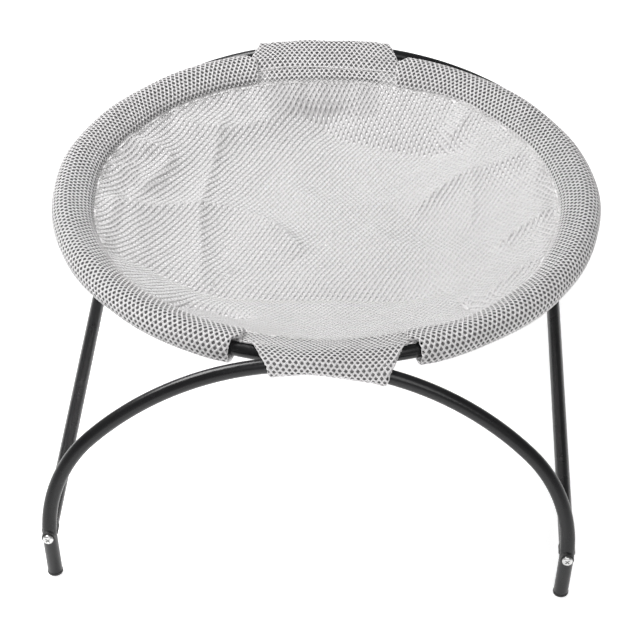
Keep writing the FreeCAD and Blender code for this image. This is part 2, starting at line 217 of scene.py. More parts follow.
def stitches(name, path, tangent_step, material, length=0.0030, radius=0.00038, pitch=0.0046):
    """Short thread stitches along a path."""
    path = np.asarray(path, float)
    s = np.concatenate([[0], np.cumsum(np.linalg.norm(np.diff(path, axis=0), axis=1))])
    at = np.arange(pitch / 2, s[-1], pitch)
    centre = np.stack([np.interp(at, s, path[:, k]) for k in range(3)], -1)
    front = np.stack([np.interp(at + tangent_step, s, path[:, k]) for k in range(3)], -1)
    back = np.stack([np.interp(at - tangent_step, s, path[:, k]) for k in range(3)], -1)
    t = unit(front - back)
    side = unit(np.cross(t, np.array([0.0, 0.0, 1.0])))
    up = np.cross(side, t)
    sides, rows = 6, 5
    along = np.linspace(-1, 1, rows)
    swell = np.sqrt(np.clip(1 - (along * 0.97) ** 4, 0.02, 1))
    angle = np.linspace(0, 2 * np.pi, sides, endpoint=False)
    verts = (centre[:, None, None] + t[:, None, None] * (along * length / 2)[None, :, None, None]
             + radius * swell[None, :, None, None] * (side[:, None, None] * np.cos(angle)[None, None, :, None]
             + up[:, None, None] * np.sin(angle)[None, None, :, None])
             - up[:, None, None] * (np.abs(along) ** 3 * radius * 1.2)[None, :, None, None])
    base = (np.arange(len(at)) * rows * sides)[:, None, None]
    r, k = np.arange(rows - 1)[None, :, None] * sides, np.arange(sides)[None, None, :]
    faces = np.stack([base + r + k, base + r + (k + 1) % sides, base + r + sides + (k + 1) % sides,
                      base + r + sides + k], -1).reshape(-1, 4)
    cap = np.array([[3, 2, 1, 0], [5, 4, 3, 0]])
    caps = np.concatenate([(base + cap).reshape(-1, 4), (base + (rows - 1) * sides + cap[:, ::-1]).reshape(-1, 4)])
    faces = np.concatenate([faces, caps])[:, ::-1]
    flat = np.zeros((len(at) * rows * sides, 2))
    flat[:, 0] = np.repeat(at, rows * sides)
    return mesh_piece(name, verts.reshape(-1, 3), faces, flat, material)


# Materials

def new_material(name, color, roughness, metallic=0.0, sheen=0.0):
    m = bpy.data.materials.new(name)
    m.use_nodes = True
    b = m.node_tree.nodes["Principled BSDF"]
    b.inputs["Base Color"].default_value = (*color, 1)
    b.inputs["Roughness"].default_value = roughness
    b.inputs["Metallic"].default_value = metallic
    b.inputs["Sheen Weight"].default_value = sheen
    return m, m.node_tree, b


def noise(tree, vector, scale, detail=3.0, rough=0.55):
    n = tree.nodes.new("ShaderNodeTexNoise")
    n.inputs["Scale"].default_value = scale
    n.inputs["Detail"].default_value = detail
    n.inputs["Roughness"].default_value = rough
    tree.links.new(vector, n.inputs["Vector"])
    return n.outputs["Fac"]


def ramp(tree, fac, stops):
    r = tree.nodes.new("ShaderNodeValToRGB")
    tree.links.new(fac, r.inputs["Fac"])
    els = r.color_ramp.elements
    while len(els) < len(stops):
        els.new(0.5)
    for e, (p, c) in zip(els, stops):
        e.position = p
        e.color = (*c, 1) if len(c) == 3 else c
    return r.outputs["Color"]


def maths(tree, op, a, b=0.0, c=0.0):
    n = tree.nodes.new("ShaderNodeMath")
    n.operation = op
    for socket, value in zip(n.inputs, (a, b, c)):
        if isinstance(value, (int, float)):
            socket.default_value = value
        else:
            tree.links.new(value, socket)
    return n.outputs[0]


def bump(tree, bsdf, height, distance, strength=1.0):
    n = tree.nodes.new("ShaderNodeBump")
    n.inputs["Distance"].default_value = distance
    n.inputs["Strength"].default_value = strength
    tree.links.new(height, n.inputs["Height"])
    tree.links.new(n.outputs["Normal"], bsdf.inputs["Normal"])


def coordinates(tree, kind="Object"):
    return tree.nodes.new("ShaderNodeTexCoord").outputs[kind]


def powder_coat():
    m, t, b = new_material("black_powder_coat", (0.008, 0.008, 0.009), 0.30)
    b.inputs["Specular IOR Level"].default_value = 0.40
    place = coordinates(t)
    grain = noise(t, place, 900, 2)
    broad = noise(t, place, 22, 4)
    t.links.new(ramp(t, broad, [(0.3, (0.006, 0.006, 0.0065)), (0.7, (0.011, 0.011, 0.012))]), b.inputs["Base Color"])
    t.links.new(maths(t, "MULTIPLY_ADD", broad, 0.06, 0.24), b.inputs["Roughness"])
    bump(t, b, grain, 0.00004, 0.5)
    return m


def moulded_plastic():
    m, t, b = new_material("black_moulded_plastic", (0.02, 0.02, 0.02), 0.55)
    place = coordinates(t)
    t.links.new(ramp(t, noise(t, place, 60, 3), [(0.3, (0.014, 0.014, 0.014)), (0.75, (0.028, 0.028, 0.028))]),
                b.inputs["Base Color"])
    bump(t, b, noise(t, place, 1600, 2), 0.00015, 0.5)
    return m


def plated_metal(name, dark, light, roughness):
    m, t, b = new_material(name, light, roughness, metallic=1.0)
    place = coordinates(t)
    t.links.new(ramp(t, noise(t, place, 180, 4), [(0.3, dark), (0.7, light)]), b.inputs["Base Color"])
    t.links.new(maths(t, "MULTIPLY_ADD", noise(t, place, 420, 3), 0.22, roughness - 0.1), b.inputs["Roughness"])
    bump(t, b, noise(t, place, 1200, 2), 0.00005, 0.4)
    return m


def crossed_waves(tree, flat, degrees, scale, distortion):
    """The stronger of two wave textures that cross at plus and minus an angle."""
    waves = []
    for angle in (degrees, -degrees):
        turn = tree.nodes.new("ShaderNodeMapping")
        turn.inputs["Rotation"].default_value = (0, 0, math.radians(angle))
        tree.links.new(flat, turn.inputs["Vector"])
        w = tree.nodes.new("ShaderNodeTexWave")
        w.inputs["Scale"].default_value = scale
        w.inputs["Distortion"].default_value = distortion
        w.inputs["Detail"].default_value = 1
        tree.links.new(turn.outputs["Vector"], w.inputs["Vector"])
        waves.append(w.outputs["Fac"])
    return maths(tree, "MAXIMUM", waves[0], waves[1])


def knit(name, dark, light, relief=1.0):
    """Polyester net: fine filaments wound along the strands, with slight tone changes."""
    m, t, b = new_material(name, light, 0.82, sheen=0.25)
    b.inputs["Sheen Roughness"].default_value = 0.5
    flat, place = coordinates(t, "UV"), coordinates(t)
    filaments = crossed_waves(t, flat, 55.0, 520, 1.4)
    tone = maths(t, "MULTIPLY_ADD", noise(t, place, 34, 4), 0.55, maths(t, "MULTIPLY", filaments, 0.45))
    t.links.new(ramp(t, tone, [(0.25, dark), (0.72, light)]), b.inputs["Base Color"])
    bump(t, b, filaments, 0.00025 * relief, 0.7)
    return m


def thread_material():
    m, t, b = new_material("sewing_thread", (0.70, 0.69, 0.68), 0.6, sheen=0.2)
    w = t.nodes.new("ShaderNodeTexWave")
    w.inputs["Scale"].default_value = 700
    w.inputs["Distortion"].default_value = 0.6
    t.links.new(coordinates(t), w.inputs["Vector"])
    t.links.new(ramp(t, w.outputs["Fac"], [(0.2, (0.58, 0.57, 0.56)), (0.8, (0.76, 0.75, 0.74))]),
                b.inputs["Base Color"])
    bump(t, b, w.outputs["Fac"], 0.0001, 0.6)
    return m


def tape_material(name):
    m, t, b = new_material(name, (0.5, 0.49, 0.47), 0.75, sheen=0.3)
    place = coordinates(t)
    t.links.new(ramp(t, noise(t, place, 240, 5, 0.7), [(0.3, (0.40, 0.39, 0.37)), (0.7, (0.58, 0.57, 0.55))]),
                b.inputs["Base Color"])
    bump(t, b, noise(t, place, 1500, 4, 0.7), 0.0005, 0.8)
    return m


def spacer_yarns(name, dark, light, opening, relief=1.0):
    """The inner face: fine yarns with gaps that let some light and some of what is behind through. The colours given to
    it are painted: shade for sleeves and flaps, light for the bowl.
    """
    m, t, b = new_material(name, light, 0.9, sheen=0.1)
    flat, place = coordinates(t, "UV"), coordinates(t)
    weave = crossed_waves(t, flat, 35.0, 260, 2.0)
    tone = maths(t, "MULTIPLY_ADD", noise(t, place, 40, 4), 0.5, maths(t, "MULTIPLY", weave, 0.5))
    t.links.new(ramp(t, tone, [(0.25, dark), (0.75, light)]), b.inputs["Base Color"])
    shut, swing = 1 - opening, 0.22 * relief
    t.links.new(ramp(t, weave, [(0.30, (shut - swing,) * 3), (0.85, (min(1, shut + swing),) * 3)]), b.inputs["Alpha"])
    bump(t, b, weave, 0.0004 * relief, 0.8)
    return m


POWDER = powder_coat()
PLASTIC = moulded_plastic()
ZINC = plated_metal("zinc_plate", (0.50, 0.50, 0.50), (0.72, 0.72, 0.71), 0.30)
BRASS = plated_metal("turned_brass", (0.55, 0.40, 0.17), (0.75, 0.58, 0.28), 0.35)
COVER_KNIT = knit("cover_knit", (0.65, 0.637, 0.640), (0.84, 0.824, 0.828))
BOWL_KNIT = knit("bowl_knit", (0.600, 0.590, 0.593), (0.650, 0.639, 0.642), 0.15)
# The sleeves' inner face is coloured dark as painted shade: it stands in for the shade inside the sleeve, seen through
# the holes.
COVER_BACK_PAINTED_SHADE = spacer_yarns("cover_spacer_yarns_painted_shade", (0.16, 0.158, 0.158), (0.28, 0.276, 0.276), 0.25)
# The flaps' inner face is a slightly lighter copy of that painted shade, for the shade inside the flaps and on the
# tails.
FLAP_BACK_PAINTED_SHADE = spacer_yarns("flap_spacer_yarns_painted_shade", (0.19, 0.188, 0.188), (0.31, 0.306, 0.306), 0.20)
# The bowl's inner face is coloured lighter than its net as painted light: it lightens the shadow the net casts on it
# and stands in for the floor's light seen through the holes.
BOWL_BACK_PAINTED_LIGHT = spacer_yarns("bowl_spacer_yarns_painted_light", (0.78, 0.768, 0.770), (0.85, 0.838, 0.840), 0.34, 0.25)
THREAD = thread_material()
HOOK = tape_material("hook_weave")
LOOP = tape_material("loop_pile")


def finish_cad_nodes():
    """Detailed materials and crisp edges for the metal and moulded pieces."""
    kinds = {"black_tube": POWDER, "black_plastic": PLASTIC, "zinc_steel": ZINC, "brass": BRASS}
    slots = {s["node"]: s["material_slot"] for s in frame["record"]["subparts"]}
    for node, ob in frame["nodes"].items():
        material = kinds.get(slots[node])
        if material:
            ob.data.materials.clear()
            ob.data.materials.append(material)
            ob.data.polygons.foreach_set("use_smooth", np.ones(len(ob.data.polygons), bool))
            edge = ob.modifiers.new("crisp_edges", "EDGE_SPLIT")
            edge.split_angle = math.radians(32)


# The cover's shape

def turned(points, angle=TURN):
    """Turns points about Z with the whole cover."""
    c, s = math.cos(angle), math.sin(angle)
    out = np.array(points, float)
    x, y = out[..., 0].copy(), out[..., 1].copy()
    out[..., 0], out[..., 1] = c * x - s * y, s * x + c * y
    return out


def seam_radius(angle):
    """Seam radius at an angle from +X, in the cover's own frame."""
    off_end = np.abs(np.abs(np.arctan2(np.sin(angle), np.cos(angle))) - np.pi / 2)
    k = np.clip((off_end - 0.30) / 0.28, 0, 1)
    k = k * k * (3 - 2 * k)
    uneven = 0.0009 * np.sin(7 * angle + 0.8) + 0.0006 * np.sin(13 * angle + 2.1)
    return SEAM_END + (SEAM_SIDE - SEAM_END) * k + uneven


def curve_through(points, per_span=8):
    """A smooth line through a few points."""
    p = np.asarray(points, float)
    q = np.vstack([2 * p[0] - p[1], p, 2 * p[-1] - p[-2]])
    out = []
    for k in range(len(p) - 1):
        a, b, c, d = q[k:k + 4]
        t = np.linspace(0, 1, per_span, endpoint=False)[:, None]
        out.append(0.5 * (2 * b + (c - a) * t + (2 * a - 5 * b + 4 * c - d) * t ** 2
                          + (3 * b - a - 3 * c + d) * t ** 3))
    return np.vstack(out + [p[-1:]])


# Folds in the bowl, in mm: a line of points in plan, height, steep and gentle widths. The steep flank is on the
# line's left as it runs. The first 14 began as places picked on the photograph, which a helper script carried
# into plan through the fitted view, and some of their points were then adjusted by hand.
FOLD_GAIN = 2.0                             # on every fold's height
FOLD_WIDTH = 0.00085                        # metres of flank for one unit of a fold's width
FOLDS = [
    ([(-237, -12), (-207, -1), (-177, 8), (-141, 26), (-104, 38), (-72, 28), (-40, 6), (-20, -18)], 8.0, 9, 46),
    ([(-222, -88), (-183, -80), (-150, -80), (-120, -86), (-81, -84), (-42, -78), (1, -75), (58, -73), (117, -78),
      (165, -92)], -7.5, 30, 40),
    ([(-160, -168), (-135, -134), (-120, -124), (-90, -125), (-60, -140)], -6.0, 8, 22),
    ([(-117, 182), (-120, 147), (-124, 109), (-129, 68), (-130, 25), (-124, -31), (-118, -84)], 2.6, 7, 20),
    ([(-172, 150), (-148, 150), (-128, 152), (-104, 160), (-75, 176), (-44, 196)], 3.0, 14, 24),
    ([(-225, 92), (-199, 99), (-179, 104), (-168, 95), (-180, 60), (-201, 18)], 4.0, 10, 26),
    ([(-60, 208), (-40, 204), (-8, 202), (28, 208)], -3.5, 6, 14),
    ([(158, 196), (143, 177), (134, 162), (122, 148)], 4.5, 6, 18),
    ([(-38, 212), (-15, 195), (7, 181), (51, 166), (90, 155), (115, 147), (150, 130)], -7.0, 16, 34),
    ([(224, 98), (184, 98), (147, 99), (126, 90), (109, 76), (82, 50)], 6.0, 13, 34),
    ([(236, 0), (215, -3), (192, -13), (170, -30)], 5.0, 7, 26),
    ([(222, -84), (193, -94), (172, -114), (150, -128)], 4.5, 8, 24),
    ([(166, -166), (150, -136), (138, -108)], -6.0, 5, 16),
    ([(147, 104), (149, 60), (147, 16)], 2.2, 6, 18),
    ([(40, 40), (70, 5), (120, -15), (165, -20)], 2.5, 18, 30),
    ([(-60, 110), (-20, 80), (30, 70), (80, 80)], 2.0, 22, 36),
]


def fold_height(x, y):
    """How far the folds lift the bowl at places in plan."""
    out = np.zeros_like(x)
    for points, height, steep, gentle in FOLDS:
        line = curve_through(np.array(points, float) / 1000)
        a, b = line[:-1], line[1:]
        d = b - a
        length = np.concatenate([[0], np.cumsum(np.linalg.norm(d, axis=1))])
        best = np.full(x.shape, 1e9)
        side, along = np.zeros_like(x), np.zeros_like(x)
        near = ((x > line[:, 0].min() - 0.14) & (x < line[:, 0].max() + 0.14)
                & (y > line[:, 1].min() - 0.14) & (y < line[:, 1].max() + 0.14))
        xn, yn = x[near], y[near]
        bn, sn, an = best[near], side[near], along[near]
        for k in range(len(d)):
            rx, ry = xn - a[k, 0], yn - a[k, 1]
            t = np.clip((rx * d[k, 0] + ry * d[k, 1]) / (d[k] @ d[k]), 0, 1)
            gap = np.hypot(rx - t * d[k, 0], ry - t * d[k, 1])
            closer = gap < bn
            bn = np.where(closer, gap, bn)
            sn = np.where(closer, d[k, 0] * ry - d[k, 1] * rx, sn)
            an = np.where(closer, (length[k] + t * (length[k + 1] - length[k])) / length[-1], an)
        width = np.where(sn > 0, 1.15 * steep, gentle) * FOLD_WIDTH
        soft = np.sqrt(bn ** 2 + 0.0012 ** 2) - 0.0012
        ends = np.clip(an / 0.18, 0, 1) * np.clip((1 - an) / 0.22, 0, 1)
        out[near] += FOLD_GAIN * height / 1000 * np.exp(-soft / width) * ends ** 0.8
    return out


def bowl_place(u, v):
    """The flat cut's places to the bowl's surface."""
    r, angle = np.hypot(u, v), np.arctan2(v, u)
    edge = seam_radius(angle)
    last = edge + 0.0006
    r = np.where(r > last - 0.004, last - 0.004 * np.exp(-(r - last + 0.004) / 0.004), r)
    p = turned(np.stack([r * np.cos(angle), r * np.sin(angle), np.zeros_like(r)], -1))
    x, y = p[..., 0], p[..., 1]
    q = r / edge
    floor_z = BOWL_BOX[0].z + 0.002
    depth, run = SEAM_Z - floor_z, edge - FLOOR_R
    wall = (run ** 2 + depth ** 2) / (2 * depth)
    z = floor_z + wall - np.sqrt(wall ** 2 - np.clip(r - FLOOR_R, 0, None) ** 2)
    world = np.arctan2(y, x)
    calm = np.clip((edge - r) / 0.020, 0, 1)
    pucker = 0.0011 * np.sin(37 * world + 2.0 * np.sin(3 * world)) + 0.0007 * np.sin(61 * world + 1.3)
    ripple = (np.sin(x * 41 + 1.7 * np.sin(y * 23)) * np.sin(y * 37 + 0.6 + 1.3 * np.sin(x * 29))) * 0.0013
    near_tail = np.clip((q - 0.86) / 0.06, 0, 1) * np.clip((0.36 - np.abs(np.abs(world) - np.pi / 2)) / 0.06, 0, 1)
    z = z + fold_height(x, y) * (0.25 + 0.75 * calm) * (1 - 0.75 * near_tail)
    z = z + ripple * calm + pucker * np.exp(-(edge - r) / 0.018) * np.clip((edge - r) / 0.004, 0, 1)
    p[..., 2] = z
    return p


def between(grid, a, b):
    """A grid's values at fractional rows a and columns b."""
    i = np.clip(a.astype(int), 0, grid.shape[0] - 2)
    j = np.clip(b.astype(int), 0, grid.shape[1] - 2)
    fa, fb = (a - i)[..., None], (b - j)[..., None]
    return ((grid[i, j] * (1 - fb) + grid[i, j + 1] * fb) * (1 - fa)
            + (grid[i + 1, j] * (1 - fb) + grid[i + 1, j + 1] * fb) * fa)


def ring_path(radius_at, height, start, end, n):
    """Points at a height round the ring, turned with the cover."""
    angle = np.linspace(start, end, n)
    r = radius_at(angle)
    return turned(np.stack([r * np.cos(angle), r * np.sin(angle), np.full(n, height)], -1))


def roll_under(over, radius):
    """How far a turned-under edge goes on, and how far it drops, past the fold."""
    turn = np.clip(over / radius, 0, np.pi)
    ahead = radius * np.sin(turn) - np.maximum(over - np.pi * radius, 0)
    return np.where(over > 0, ahead, 0.0), np.where(over > 0, radius * (1 - np.cos(turn)), 0.0)


def notch_fade(d):
    """1 where flap and sleeves are joined beside the seam, 0 past the notches' closed ends."""
    k = np.clip((d - NOTCH) / 0.009, 0, 1)
    return 1 - k * k * (3 - 2 * k)


def sleeve_section(seam, swell):
    """One section of a sleeve: places (r, z) from the seam over the tube and back under to the seam."""
    centre = np.array([RING, RING_Z])
    tip = np.array([seam - 0.0012, SEAM_Z - 0.0005])
    reach = np.linalg.norm(tip - centre)
    aim = math.atan2(tip[1] - centre[1], tip[0] - centre[0])
    rho = SLEEVE_R * swell
    beta = math.acos(rho / reach)
    angle = np.linspace(aim - beta, aim - (2 * np.pi - beta), 64)
    arc = centre + rho * np.stack([np.cos(angle), np.sin(angle)], -1)
    t = np.linspace(0, 1, 20, endpoint=False)[:, None]
    along = arc[0] - tip
    first = tip + along * t + np.array([-along[1], along[0]]) * 0.13 * np.sin(np.pi * t) * (1 - 0.35 * t)
    last = arc[-1] + (tip - arc[-1]) * np.linspace(0, 1, 21)[1:, None]
    return np.vstack([first, arc, last])


def sleeve_place(sign):
    """A sleeve's flat cut: u runs round the ring, v round the tube from the seam."""
    half = math.pi / 2 - SLEEVE_START
    stations = np.linspace(-half, half, 49)
    sections, lengths = [], []
    for angle in stations:
        swell = 1 + 0.025 * math.sin(9 * angle + sign) + 0.02 * math.sin(17 * angle + 2 * sign)
        end = max(0.0, 1 - (half - abs(angle)) / 0.06)
        world = angle if sign > 0 else math.pi - angle
        s = sleeve_section(float(seam_radius(np.array(world))), swell * (1 - 0.05 * end))
        s = s[::-1]                                    # the outer face looks out
        d = np.concatenate([[0], np.cumsum(np.linalg.norm(np.diff(s, axis=0), axis=1))])
        t = np.linspace(0, 1, SLEEVE_STEPS + 1)
        sections.append(np.stack([np.interp(t, d / d[-1], s[:, c]) for c in (0, 1)], -1))
        lengths.append(d[-1])
    sections = np.array(sections)
    wide = float(np.mean(lengths))

    def reach(v):
        """Past the sleeve's end, where the cloth goes on to the flap beside the seam."""
        d = wide / 2 - v
        return (0.0015 + 0.20 * d) * notch_fade(d)

    def place(u, v):
        angle = u / RING
        w = np.clip(v / wide + 0.5, 0, 1)
        end = half + reach(v) / RING
        over = (np.abs(angle) - end) * RING
        ahead, drop = roll_under(over, 0.0019)
        angle = np.sign(angle) * (np.minimum(np.abs(angle), end) + ahead / RING)
        station = np.clip((angle + half) / (2 * half), 0, 1) * (len(stations) - 1.0001)
        s = between(sections, station, w * SLEEVE_STEPS)
        centre = np.array([RING - 0.004, RING_Z])
        inward = unit(centre - s)
        s = s + inward * drop[..., None]
        world = angle if sign > 0 else math.pi - angle
        return turned(np.stack([s[..., 0] * np.cos(world), s[..., 0] * np.sin(world), s[..., 1]], -1))

    return place, half * RING, wide, reach


def make_sleeve(name, sign):
    raw, half, wide, reach = sleeve_place(sign)
    cell = (CELL[0], wide / round(wide / CELL[1]))
    hem = 0.011

    def place(u, v):
        return raw(u * sign, v)

    def inside(u, v):
        return (np.abs(u) < half + reach(v) + hem) & (np.abs(v) < wide / 2)

    def trim(u, v):
        return u * (half + reach(v)), v

    ob = net(f"{name}_net", place, inside, (half + 0.02, wide / 2), COVER_KNIT, cell)
    back = backing_sheet(f"{name}_inner_face", place, np.linspace(-1, 1, 241), np.linspace(-wide / 2, wide / 2, 61),
                         trim, COVER_BACK_PAINTED_SHADE)
    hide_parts(name)
    for piece in (ob, back):
        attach(piece, "stand")
    return ob


def chaikin(points, times):
    """Rounds a line's corners; points has its line on axis 1."""
    p = points
    for _ in range(times):
        a, b = p[:, :-1], p[:, 1:]
        cut = np.stack([0.75 * a + 0.25 * b, 0.25 * a + 0.75 * b], 2).reshape(len(p), -1, 2)
        p = np.concatenate([p[:, :1], cut, p[:, -1:]], 1)
    return p


def flap_lines(end):
    """A flap's middle surface, as (y, z) lines at stations across it, from the seam to the tail's tip. The
    rear flap's are given turned round to the front."""
    lines = []
    half = FLAP_HALF[end][1][0] + 0.001
    for s in FLAP_STATIONS:
        off = math.asin(s * half / SEAM_END) + FLAP_TURN - TURN
        seam = float(seam_radius(np.array(off + (-np.pi / 2 if end == "front" else np.pi / 2))))
        seam_y = -math.sqrt((seam - 0.0014) ** 2 - (s * half) ** 2)
        ring_y = -math.sqrt(RING ** 2 - (s * FLAP_AT_RING) ** 2)
        x = s * FLAP_AT_ARCH - math.sin(FLAP_TURN) * APEX[0]        # from the arch's apex
        drop = ARCH_TOP_RADIUS - math.sqrt(ARCH_TOP_RADIUS ** 2 - x ** 2)
        ay = APEX[0] - math.sin(LEAN) * drop - math.tan(FLAP_TURN) * s * FLAP_AT_ARCH
        az = APEX[1] - math.cos(LEAN) * drop
        hz = HINGE["front"][2]
        lift = 0.0005 * math.cos(5 * s) + 0.0010 * s * s
        curl = 0.0005 * abs(s) ** 6
        lines.append([
            (seam_y, SEAM_Z - 0.0002), (ring_y + 0.0135, RING_Z + 0.0054 + lift),
            (ring_y + 0.0015, RING_Z + 0.0104 + lift), (ay + 0.0030, az + 0.0098),
            (ay - 0.0080, az + 0.0092), (ay - 0.0100 - curl, az + 0.0009), (ay - 0.0086 - curl, az - 0.0063),
            (ay - 0.0024, az - 0.0104), (ring_y - 0.0060, min(hz, az - 0.0122)), (-0.2380, hz - 0.0036),
            (-0.2200, hz - 0.0150), (-0.2035, hz - 0.0255)])
    return np.array(lines)


def flap_place(end):
    """The flap's flat cut: u across, v along it from the seam."""
    lines = chaikin(flap_lines(end), 3)
    step = np.linalg.norm(np.diff(lines, axis=1), axis=2)
    total = step.sum(1)
    t = np.linspace(0, 1, FLAP_STEPS + 1)
    even = []
    for k in range(len(lines)):
        d = np.concatenate([[0], np.cumsum(step[k])]) / total[k]
        even.append(np.stack([np.interp(t, d, lines[k, :, c]) for c in (0, 1)], -1))
    even = np.array(even)
    long = float(total.mean())
    tangent = np.gradient(even, axis=1)
    inward = unit(np.stack([-tangent[..., 1], tangent[..., 0]], -1))

    def half_width(v):
        d = v + long / 2
        return np.interp(d, *FLAP_HALF[end]) + (0.0010 + 0.31 * d) * notch_fade(d)

    def pick(grid, s, w):
        return between(grid, (s + 1) / 2 * (len(FLAP_STATIONS) - 1), w * FLAP_STEPS)

    def place(u, v):
        w = np.clip(v / long + 0.5, 0, 1)
        half = half_width(v)
        over = np.abs(u) - half
        ahead, drop = roll_under(over, 0.0014)
        x = np.sign(u) * (np.minimum(np.abs(u), half) + ahead)
        s = np.clip(x / half, -1, 1)
        p = pick(even, s, w) + pick(inward, s, w) * drop[..., None]
        pull = 0.0008 * np.sin(x * 95 + v * 40) * np.clip((w - 0.05) / 0.1, 0, 1)
        out = np.stack([x, p[..., 0] - pull, p[..., 1]], -1)
        if end == "rear":
            out[..., :2] *= -1
        return turned(out, FLAP_TURN)

    return place, long, half_width


def make_flap(end):
    place, long, half_width = flap_place(end)
    hem = 0.0075
    cell = (CELL[0], long / round(long / CELL[1]))

    def inside(u, v):
        return (np.abs(u) < half_width(v) + hem) & (np.abs(v) < long / 2)

    def trim(u, v):
        return u * (half_width(v) - 0.0005), v

    ob = net(f"{end}_flap_net", place, inside, (0.1, long / 2), COVER_KNIT, cell)
    back = backing_sheet(f"{end}_flap_inner_face", place, np.linspace(-1, 1, 61),
                         np.linspace(-long / 2 + 0.001, long / 2 - 0.001, 121), trim, FLAP_BACK_PAINTED_SHADE,
                         side=-BACKING)
    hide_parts(f"{end}_flap", f"{end}_flap_tail")
    d = np.linspace(0, long, 200)
    for piece in (ob, back):
        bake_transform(piece)
    return place, long


def make_bowl():
    def inside(u, v):
        return np.hypot(u, v) < seam_radius(np.arctan2(v, u)) - 0.0006

    ob = net("bowl_net", bowl_place, inside, (0.24, 0.24), BOWL_KNIT, holes=0.62, crown_by=0.00010)

    def polar(a, r):
        return r * seam_radius(a) * np.cos(a), r * seam_radius(a) * np.sin(a)

    back = backing_sheet("bowl_inner_face", bowl_place, np.linspace(0, 2 * np.pi, 361), np.linspace(0.004, 1.02, 120),
                         polar, BOWL_BACK_PAINTED_LIGHT, side=0.00012)
    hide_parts("bowl")
    for piece in (ob, back):
        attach(piece, "stand")
    return ob


def make_seam():
    """The seam allowance, rolled where bowl, sleeves and flaps meet, and its row of stitches."""
    roll = tube_mesh("rim_seam", ring_path(seam_radius, SEAM_Z - 0.0018, 0, 2 * np.pi, 361)[:-1], 0.0009, COVER_KNIT,
                     closed=True, flat=0.8)
    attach(roll, "stand")
    row = ring_path(lambda a: seam_radius(a) - 0.0034, 0, 0, 2 * np.pi, 1441)
    c, s = math.cos(-TURN), math.sin(-TURN)
    flat = np.stack([c * row[:, 0] - s * row[:, 1], s * row[:, 0] + c * row[:, 1]], -1)
    lifted = bowl_place(flat[:, 0], flat[:, 1])
    lifted[:, 2] += 0.0006
    ob = stitches("rim_stitching", lifted, 0.0008, THREAD)
    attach(ob, "stand")


def make_hem(place, long):
    """The stitched hem line across the rear flap, on the ring's inner side."""
    u = np.linspace(-0.080, 0.080, 81)
    v = np.full(81, -long / 2 + 0.0175) + 0.0012 * np.sin(u * 60)
    line = place(u, v)
    line[:, 2] += 0.0006
    roll = tube_mesh("rear_flap_hem", line, 0.0007, COVER_KNIT, flat=0.7)
    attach(roll, "stand")
    line[:, 1] -= 0.0016
    line[:, 2] -= 0.0004
    row = stitches("rear_flap_hem_stitching", line, 0.0008, THREAD)
    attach(row, "stand")


def tape_grid(name, surface, half, span, body, node, material, pile):
    """A tape laid on a surface, with its hooks or loops; surface(x, t) gives places and normals."""
    nx, nt = 61, 15
    x, t = np.meshgrid(np.linspace(-half, half, nx), np.linspace(0, 1, nt))
    p, n = surface(x, t)
    thin = 0.0005
    lo, hi = p.reshape(-1, 3), (p + n * thin).reshape(-1, 3)
    verts = np.vstack([lo, hi])
    idx = np.arange(nx * nt).reshape(nt, nx)
    quad = np.stack([idx[:-1, :-1], idx[:-1, 1:], idx[1:, 1:], idx[1:, :-1]], -1).reshape(-1, 4)
    top = quad + nx * nt
    rim = np.concatenate([idx[0], idx[1:, -1], idx[-1, -2::-1], idx[-2:0:-1, 0]])
    nxt = np.roll(rim, -1)
    wall = np.stack([rim, nxt, nxt + nx * nt, rim + nx * nt], -1)
    faces = [quad[:, ::-1], top, wall]
    rng = np.random.default_rng(7)
    sides, rows = 4, 7
    gx, gt = np.meshgrid(np.linspace(-half + 0.002, half - 0.002, int(half * 2 / 0.0021)),
                         np.linspace(0.10, 0.90, int(span / 0.0019)))
    gx = gx.ravel() + rng.uniform(-1, 1, gx.size) * (0.0006 if pile else 0.0001)
    gt = gt.ravel() + rng.uniform(-1, 1, gt.size) * (0.02 if pile else 0.003)
    base, up = surface(gx, gt)
    heading = rng.uniform(0, 2 * np.pi, gx.size) if pile else np.where(np.arange(gx.size) % 2, 0.0, np.pi)
    e1 = unit(np.cross(up, np.array([0.0, 1.0, 0.0])) + 1e-9)
    e2 = np.cross(up, e1)
    lean = e1 * np.cos(heading)[:, None] + e2 * np.sin(heading)[:, None]
    arc = np.linspace(0, np.pi * (1.0 if pile else 0.82), rows)
    size = 0.00046 if pile else 0.00042
    line = (base[:, None] + up[:, None] * (thin + size * 0.25 + size * np.sin(arc))[None, :, None]
            + lean[:, None] * (size * (1 - np.cos(arc)) - size)[None, :, None])
    across = unit(np.cross(lean, up))
    angle = np.linspace(0, 2 * np.pi, sides, endpoint=False)
    radial = (across[:, None, None] * np.cos(angle)[None, None, :, None]
              + (up[:, None] * np.sin(arc)[None, :, None] - lean[:, None] * np.cos(arc)[None, :, None])[:, :, None]
              * np.sin(angle)[None, None, :, None])
    hooks = (line[:, :, None] + radial * 0.00013).reshape(-1, 3)
    start = len(verts) + (np.arange(gx.size) * rows * sides)[:, None, None]
    r, k = np.arange(rows - 1)[None, :, None] * sides, np.arange(sides)[None, None, :]
    body_faces = np.stack([start + r + k, start + r + (k + 1) % sides, start + r + sides + (k + 1) % sides,
                           start + r + sides + k], -1).reshape(-1, 4)
    first = start.reshape(-1, 1)
    ends = np.vstack([first + np.array([3, 2, 1, 0]), first + (rows - 1) * sides + np.array([0, 1, 2, 3])])
    faces = np.vstack(faces + [body_faces, ends])
    verts = np.vstack([verts, hooks])
    ob = mesh_piece(name, verts, faces, verts[:, :2], material)
    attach(ob, body)
    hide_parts(node)
    return ob


